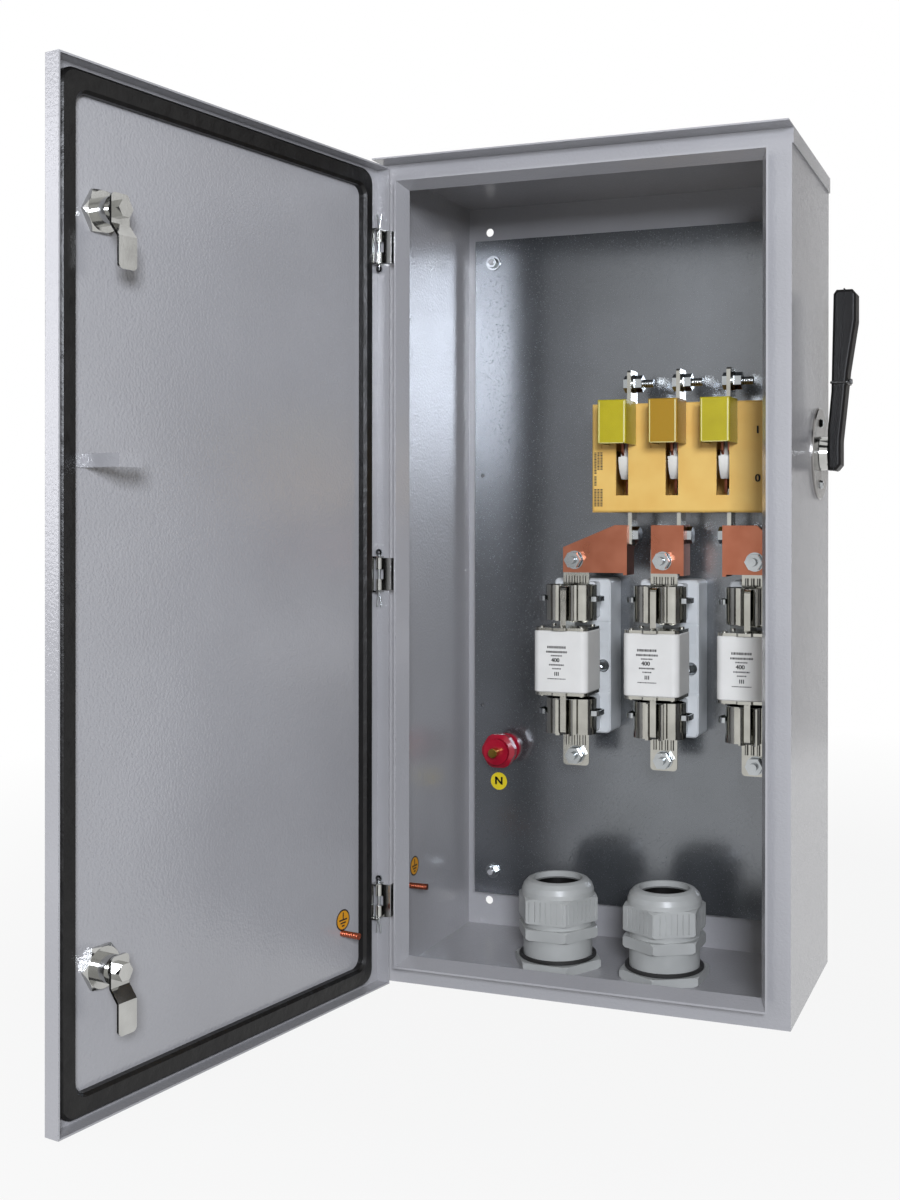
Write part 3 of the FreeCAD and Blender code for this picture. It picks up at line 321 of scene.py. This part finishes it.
# A flat bar from two corners of a drawing. Drawings are in mm, lie in X and Z and face -Y.
def inkBar(x0, x1, z0, z1, thick):
    bpy.ops.mesh.primitive_cube_add(size=1, location=((x0 + x1) / 2000, -thick / 2000, (z0 + z1) / 2000))
    bar = bpy.context.object
    bar.scale = ((x1 - x0) / 1000, thick / 1000, (z1 - z0) / 1000)
    return bar


def inkDisc(radius, thick, sides=48):
    bpy.ops.mesh.primitive_cylinder_add(vertices=sides, radius=radius / 1000, depth=thick / 1000,
                                        location=(0, -thick / 2000, 0), rotation=(math.pi / 2, 0, 0))
    return bpy.context.object


def inkText(words, size, x, z, thick):
    bpy.ops.object.text_add(location=(0, 0, 0))
    letters = bpy.context.object
    letters.data.body = words
    letters.data.size = size / 1000
    letters.data.align_x = "CENTER"
    letters.data.align_y = "CENTER"
    letters.data.extrude = thick / 2000
    letters.data.resolution_u = 4
    bpy.ops.object.convert(target="MESH")
    letters.location = (x / 1000, -thick / 2000, z / 1000)
    letters.rotation_euler = (math.pi / 2, 0, 0)
    return letters


# A bold letter is the same letter laid down more than once, a little to the side
def boldText(words, size, shifts, z, thick):
    return [inkText(words, size, shift, z, thick) for shift in shifts]


# Starts and ends of the strokes of a row of print, whose lengths take turns
def strokesAlong(start, end, lengths, gap):
    pairs = []
    while start < end:
        long = lengths[len(pairs) % len(lengths)]
        pairs.append((start, start + long))
        start += long + gap
    return pairs


# Joins the shapes of one ink, stands them on a surface and gives them to a body
def layDown(shapes, name, ink, body, place):
    bpy.ops.object.select_all(action="DESELECT")
    for shape in shapes:
        shape.select_set(True)
    bpy.context.view_layer.objects.active = shapes[0]
    bpy.ops.object.transform_apply(location=True, rotation=True, scale=True)
    if len(shapes) > 1:
        bpy.ops.object.join()
    piece = bpy.context.object
    piece.name = name
    piece.data.name = name
    piece.data.transform(place)
    piece.data.materials.clear()
    piece.data.materials.append(inks[ink])
    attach(piece, body)
    return piece


# Turns a drawing round Z and puts its origin on a point given in mm
def placing(pointMm, turnDeg=0):
    return Matrix.Translation(Vector(pointMm) / 1000) @ Matrix.Rotation(math.radians(turnDeg), 4, "Z")


# Places on the door are measured with the door shut, and turned about its hinge line to where it stands
door = {"hinge": (-195.8, -230, 0), "openDeg": 100}
doorTurn = placing(door["hinge"], -door["openDeg"]) @ placing([-v for v in door["hinge"]])

# Round earth signs: an orange sticker with a black rim and the earth symbol
earthSign = {"radius": 10, "face": 8.6, "thick": 0.12, "stem": (0.7, 7), "strokeHalf": 0.7,
             "bars": [(5.8, 0.2), (3.8, -2.6), (1.9, -5.4)],
             "onWall": (-198.5, -144, -303), "onDoor": (-145.9, -234.5, -323.8)}


def makeEarthSign(name, body, place):
    thick, half = earthSign["thick"], earthSign["strokeHalf"]
    layDown([inkDisc(earthSign["radius"], thick)], name + "Rim", "black", body, place)
    layDown([inkDisc(earthSign["face"], thick * 2)], name, "signOrange", body, place)
    stemHalf, stemTop = earthSign["stem"]
    strokes = [inkBar(-stemHalf, stemHalf, 0, stemTop, thick * 3)]
    for reach, level in earthSign["bars"]:
        strokes.append(inkBar(-reach, reach, level - half, level + half, thick * 3))
    layDown(strokes, name + "Symbol", "black", body, place)


makeEarthSign("wallEarthSign", "box", placing(earthSign["onWall"], 90))
makeEarthSign("doorEarthSign", "door", doorTurn @ placing(earthSign["onDoor"], 180))

# Round neutral sign on the plate beside its terminal
neutralSign = {"radius": 9.6, "thick": 0.12, "letter": 12.5, "bold": (-0.5, 0, 0.5),
               "onPlate": (-157, -15, -235.8)}


def makeNeutralSign():
    thick = neutralSign["thick"]
    place = placing(neutralSign["onPlate"])
    layDown([inkDisc(neutralSign["radius"], thick)], "neutralSign", "signYellow", "box", place)
    letters = boldText("N", neutralSign["letter"], neutralSign["bold"], 0, thick * 2)
    layDown(letters, "neutralLetter", "black", "box", place)


makeNeutralSign()

# Position marks and rows of print on the switch cover; the rows stand upright, as (x, low end, length)
coverPrint = {"front": -100, "thick": 0.2, "markSize": 10.5, "bold": (0, 0.4, 0.8),
              "marks": [("I", 147, 140), ("0", 147, 93)],
              "rowHalf": 1.15, "strokes": (1.0, 0.7, 1.2, 0.6), "gap": 0.5,
              "rows": [(-18, 66, 17), (-14.8, 66, 17), (-11.6, 66, 17), (-18, 87, 9), (-18, 99, 22),
                       (-14.8, 103, 17), (-11.6, 103, 17)]}


def makeCoverPrint():
    thick, half = coverPrint["thick"], coverPrint["rowHalf"]
    for index, (mark, x, z) in enumerate(coverPrint["marks"]):
        layDown(boldText(mark, coverPrint["markSize"], coverPrint["bold"], 0, thick),
                "positionMark%d" % index, "black", "box", placing((x, coverPrint["front"], z)))
    strokes = []
    for x, low, tall in coverPrint["rows"]:
        for start, end in strokesAlong(low, low + tall, coverPrint["strokes"], coverPrint["gap"]):
            strokes.append(inkBar(x - half, x + half, start, end, thick))
    layDown(strokes, "coverPrintRows", "black", "box", placing((0, coverPrint["front"], 0)))


makeCoverPrint()

# Print on the fuses: rows of short strokes as (level, width, height), the plain rating and three ticks
fusePrint = {"front": -124, "level": -88, "aside": -3, "thick": 0.12,
             "strokes": (1.0, 0.6, 1.3, 0.8), "gap": 0.4,
             "rows": [(12.5, 20, 2.4), (7.8, 22, 2.0), (4.0, 12, 1.3), (-5.2, 16, 1.5), (-9.0, 9, 1.3),
                      (-19.2, 19, 1.0)],
             "rating": "400", "ratingSize": 5.8, "ratingLevel": -0.6, "bold": (-1.5, -1.3, -1.1),
             "ticks": (-1.8, 0, 1.8), "tickHalf": 0.5, "tickLow": -16.0, "tickHigh": -12.2}


def makeFusePrint(name, x):
    thick = fusePrint["thick"]
    strokes = []
    for level, wide, tall in fusePrint["rows"]:
        for start, end in strokesAlong(-wide / 2, wide / 2, fusePrint["strokes"], fusePrint["gap"]):
            strokes.append(inkBar(start, min(end, wide / 2), level - tall / 2, level + tall / 2, thick))
    strokes += boldText(fusePrint["rating"], fusePrint["ratingSize"], fusePrint["bold"],
                        fusePrint["ratingLevel"], thick)
    for tick in fusePrint["ticks"]:
        strokes.append(inkBar(tick - fusePrint["tickHalf"], tick + fusePrint["tickHalf"],
                              fusePrint["tickLow"], fusePrint["tickHigh"], thick))
    layDown(strokes, "fusePrint" + name.title(), "black", "fuse_" + name,
            placing((x + fusePrint["aside"], fusePrint["front"], fusePrint["level"])))


for fuseName, fuseX in fuseWays.items():
    makeFusePrint(fuseName, fuseX)

# Cable tie pulled tight round the lever, with its lock on the outer side; ends in X, Y and Z
leverTie = {"band": ((213.2, 229.9), (-77.2, -46.8), (184.8, 187.2)),
            "lock": ((229.2, 232.6), (-65, -59), (185.2, 190.2)), "round": 0.9}


def makeLeverTie():
    shapes = []
    for part in ("band", "lock"):
        ends = leverTie[part]
        bpy.ops.object.select_all(action="DESELECT")
        bpy.ops.mesh.primitive_cube_add(size=1, location=[(low + high) / 2000 for low, high in ends])
        shape = bpy.context.object
        shape.scale = [(high - low) / 1000 for low, high in ends]
        bpy.ops.object.transform_apply(location=False, rotation=False, scale=True)
        bpy.ops.object.mode_set(mode="EDIT")
        bpy.ops.mesh.select_all(action="SELECT")
        bpy.ops.mesh.bevel(offset=leverTie["round"] / 1000, segments=3)
        bpy.ops.object.mode_set(mode="OBJECT")
        shapes.append(shape)
    tie = layDown(shapes, "leverTie", "tie", "switch_rotor", Matrix.Identity(4))


makeLeverTie()

# Painted highlight along the edges of the chutes' front plates, where they catch the light: two upright
# strips and a foot on each
chuteEdge = {"front": -136, "low": 127.7, "high": 169.1, "half": 13.1, "wide": 0.9, "foot": 0.63,
             "thick": 0.2}


def makeChuteEdgeHighlights():
    low, high, wide, thick = (chuteEdge[key] for key in ("low", "high", "wide", "thick"))
    strips = []
    for pole in switchPoles:
        left, right = pole - chuteEdge["half"], pole + chuteEdge["half"]
        strips.append(inkBar(left, left + wide, low, high, thick))
        strips.append(inkBar(right - wide, right, low, high, thick))
        strips.append(inkBar(left, right, low, low + chuteEdge["foot"], thick))
    # The pale strips are painted highlight, drawn in a paler tone of the same yellow plastic
    layDown(strips, "chuteEdgeHighlights", "edgeHighlight", "box", placing((0, chuteEdge["front"], 0)))


makeChuteEdgeHighlights()
print("stage: signs and print")

# Camera at the photograph's viewing angle, fitted to the box's edges
view = {"place": (0.42386, -1.4587, 0.0556), "yaw": 20.33, "pitch": -0.12, "roll": -0.06,
        "lens": 42.36, "sensor": 36, "shiftX": -0.0736, "shiftY": -0.0670, "farEnd": 50}


def makeCamera():
    data = bpy.data.cameras.new("viewCamera")
    data.lens = view["lens"]
    data.sensor_width = view["sensor"]
    data.shift_x = view["shiftX"]
    data.shift_y = view["shiftY"]
    data.clip_end = view["farEnd"]
    camera = bpy.data.objects.new("viewCamera", data)
    bpy.context.scene.collection.objects.link(camera)
    camera.location = view["place"]
    camera.rotation_euler = Euler((math.radians(90 + view["pitch"]), math.radians(view["roll"]),
                                   math.radians(view["yaw"])), "XYZ")
    bpy.context.scene.camera = camera


# 1 for the rays that show the background: straight to the camera, mirrored or through glass
def backgroundRays(tree):
    rays = addNode(tree, "ShaderNodeLightPath")
    first = addNode(tree, "ShaderNodeMath", {"operation": "MAXIMUM"},
                    {0: (rays, "Is Camera Ray"), 1: (rays, "Is Glossy Ray")})
    return addNode(tree, "ShaderNodeMath", {"operation": "MAXIMUM"},
                   {0: (first, 0), 1: (rays, "Is Transmission Ray")})


# A white room to look at, whose own light on the object is weaker
room = {"light": 0.38}


def makeRoom():
    world = bpy.data.worlds.new("paleRoom")
    bpy.context.scene.world = world
    world.use_nodes = True
    tree = world.node_tree
    tree.nodes.clear()
    seen = addNode(tree, "ShaderNodeBackground", {"Color": (1, 1, 1, 1), "Strength": 1.0})
    lit = addNode(tree, "ShaderNodeBackground", {"Color": (1, 1, 1, 1), "Strength": room["light"]})
    mix = addNode(tree, "ShaderNodeMixShader", None,
                  {"Fac": (backgroundRays(tree), 0), 1: (lit, 0), 2: (seen, 0)})
    addNode(tree, "ShaderNodeOutputWorld", None, {"Surface": (mix, 0)})


# A window to the right and a broad soft light to the left
lamps = [{"name": "windowLamp", "place": (0.94, -2.3, 0.52), "size": (0.52, 0.5), "watts": 53,
          "target": (-0.17, -0.02, 0.2), "tint": "#F0F5FF"},
         {"name": "leftLamp", "place": (-2.2, -2.0, 0.5), "size": (1.6, 1.2), "watts": 20,
          "target": (0.0, -0.1, 0.0), "tint": "#F8F8FF"}]


# The turn that points an axis of a lamp or card from its place to its target
def aim(item, axis):
    return (Vector(item["target"]) - Vector(item["place"])).to_track_quat(axis, "Y").to_euler()


def makeLamps():
    for item in lamps:
        data = bpy.data.lights.new(item["name"], "AREA")
        data.shape = "RECTANGLE"
        data.size, data.size_y = item["size"]
        data.energy = item["watts"]
        data.color = toLinear(item["tint"])[:3]
        lamp = bpy.data.objects.new(item["name"], data)
        bpy.context.scene.collection.objects.link(lamp)
        lamp.location = item["place"]
        lamp.rotation_euler = aim(item, "-Z")


# Floor under the box: grey paint that keeps the shadow, seen mostly as white. Near the box the white
# has the near share, and further out it is full.
floorPaint = {"size": 14, "tone": "#8C8C8C", "roughness": 0.9, "nearShare": 0.9, "nearEnd": 0.5,
              "farStart": 1.6}


def makeFloor():
    bpy.ops.mesh.primitive_plane_add(size=floorPaint["size"], location=(0, 0, cadBox[0][2]))
    floor = bpy.context.object
    floor.name = "paleFloor"
    material, tree, shader, place = newMaterial("paleFloorPaint")
    shader.inputs["Base Color"].default_value = toLinear(floorPaint["tone"])
    shader.inputs["Roughness"].default_value = floorPaint["roughness"]
    glow = addNode(tree, "ShaderNodeEmission", {"Color": (1, 1, 1, 1), "Strength": 1.0})
    away = addNode(tree, "ShaderNodeVectorMath", {"operation": "LENGTH"}, {0: (place, "Object")})
    fade = addNode(tree, "ShaderNodeMapRange",
                   {"From Min": floorPaint["nearEnd"], "From Max": floorPaint["farStart"],
                    "To Min": floorPaint["nearShare"], "To Max": 1.0}, {"Value": (away, "Value")})
    share = addNode(tree, "ShaderNodeMath", {"operation": "MULTIPLY"},
                    {0: (backgroundRays(tree), 0), 1: (fade, "Result")})
    mix = addNode(tree, "ShaderNodeMixShader", None, {"Fac": (share, 0), 1: (shader, 0), 2: (glow, 0)})
    tree.links.new(mix.outputs[0], tree.nodes["Material Output"].inputs["Surface"])
    floor.data.materials.append(material)


# Dark cards beside the lamps, which only mirrors see, so that bare metal shows its form
cards = [{"name": "rightBackCard", "place": (0.95, 1.0, 0.1), "size": (1.2, 2.2),
          "target": (0.2, 0.0, 0.0), "tone": "#6E665E"},
         {"name": "leftFrontCard", "place": (-1.5, -3.0, 0.3), "size": (0.8, 2.6),
          "target": (0.0, -0.1, 0.0), "tone": "#2E2C2B"},
         {"name": "rightFrontCard", "place": (1.9, -1.6, 0.3), "size": (0.7, 2.4),
          "target": (0.0, -0.1, 0.0), "tone": "#2E2C2B"},
         {"name": "upperCard", "place": (0.1, -1.6, 1.9), "size": (2.4, 0.8),
          "target": (0.0, -0.1, 0.0), "tone": "#2E2C2B"}]


def makeCards():
    for item in cards:
        bpy.ops.mesh.primitive_plane_add(size=1, location=item["place"])
        card = bpy.context.object
        card.name = item["name"]
        card.scale = (*item["size"], 1)
        card.rotation_euler = aim(item, "Z")
        card.data.materials.append(plain(item["name"] + "Cloth", item["tone"], 0.9))
        card.visible_camera = False
        card.visible_diffuse = False
        card.visible_shadow = False


bpy.ops.object.select_all(action="DESELECT")
bpy.context.scene.view_settings.view_transform = "Standard"
makeCamera()
makeRoom()
makeLamps()
makeFloor()
makeCards()
print("stage: camera and studio")
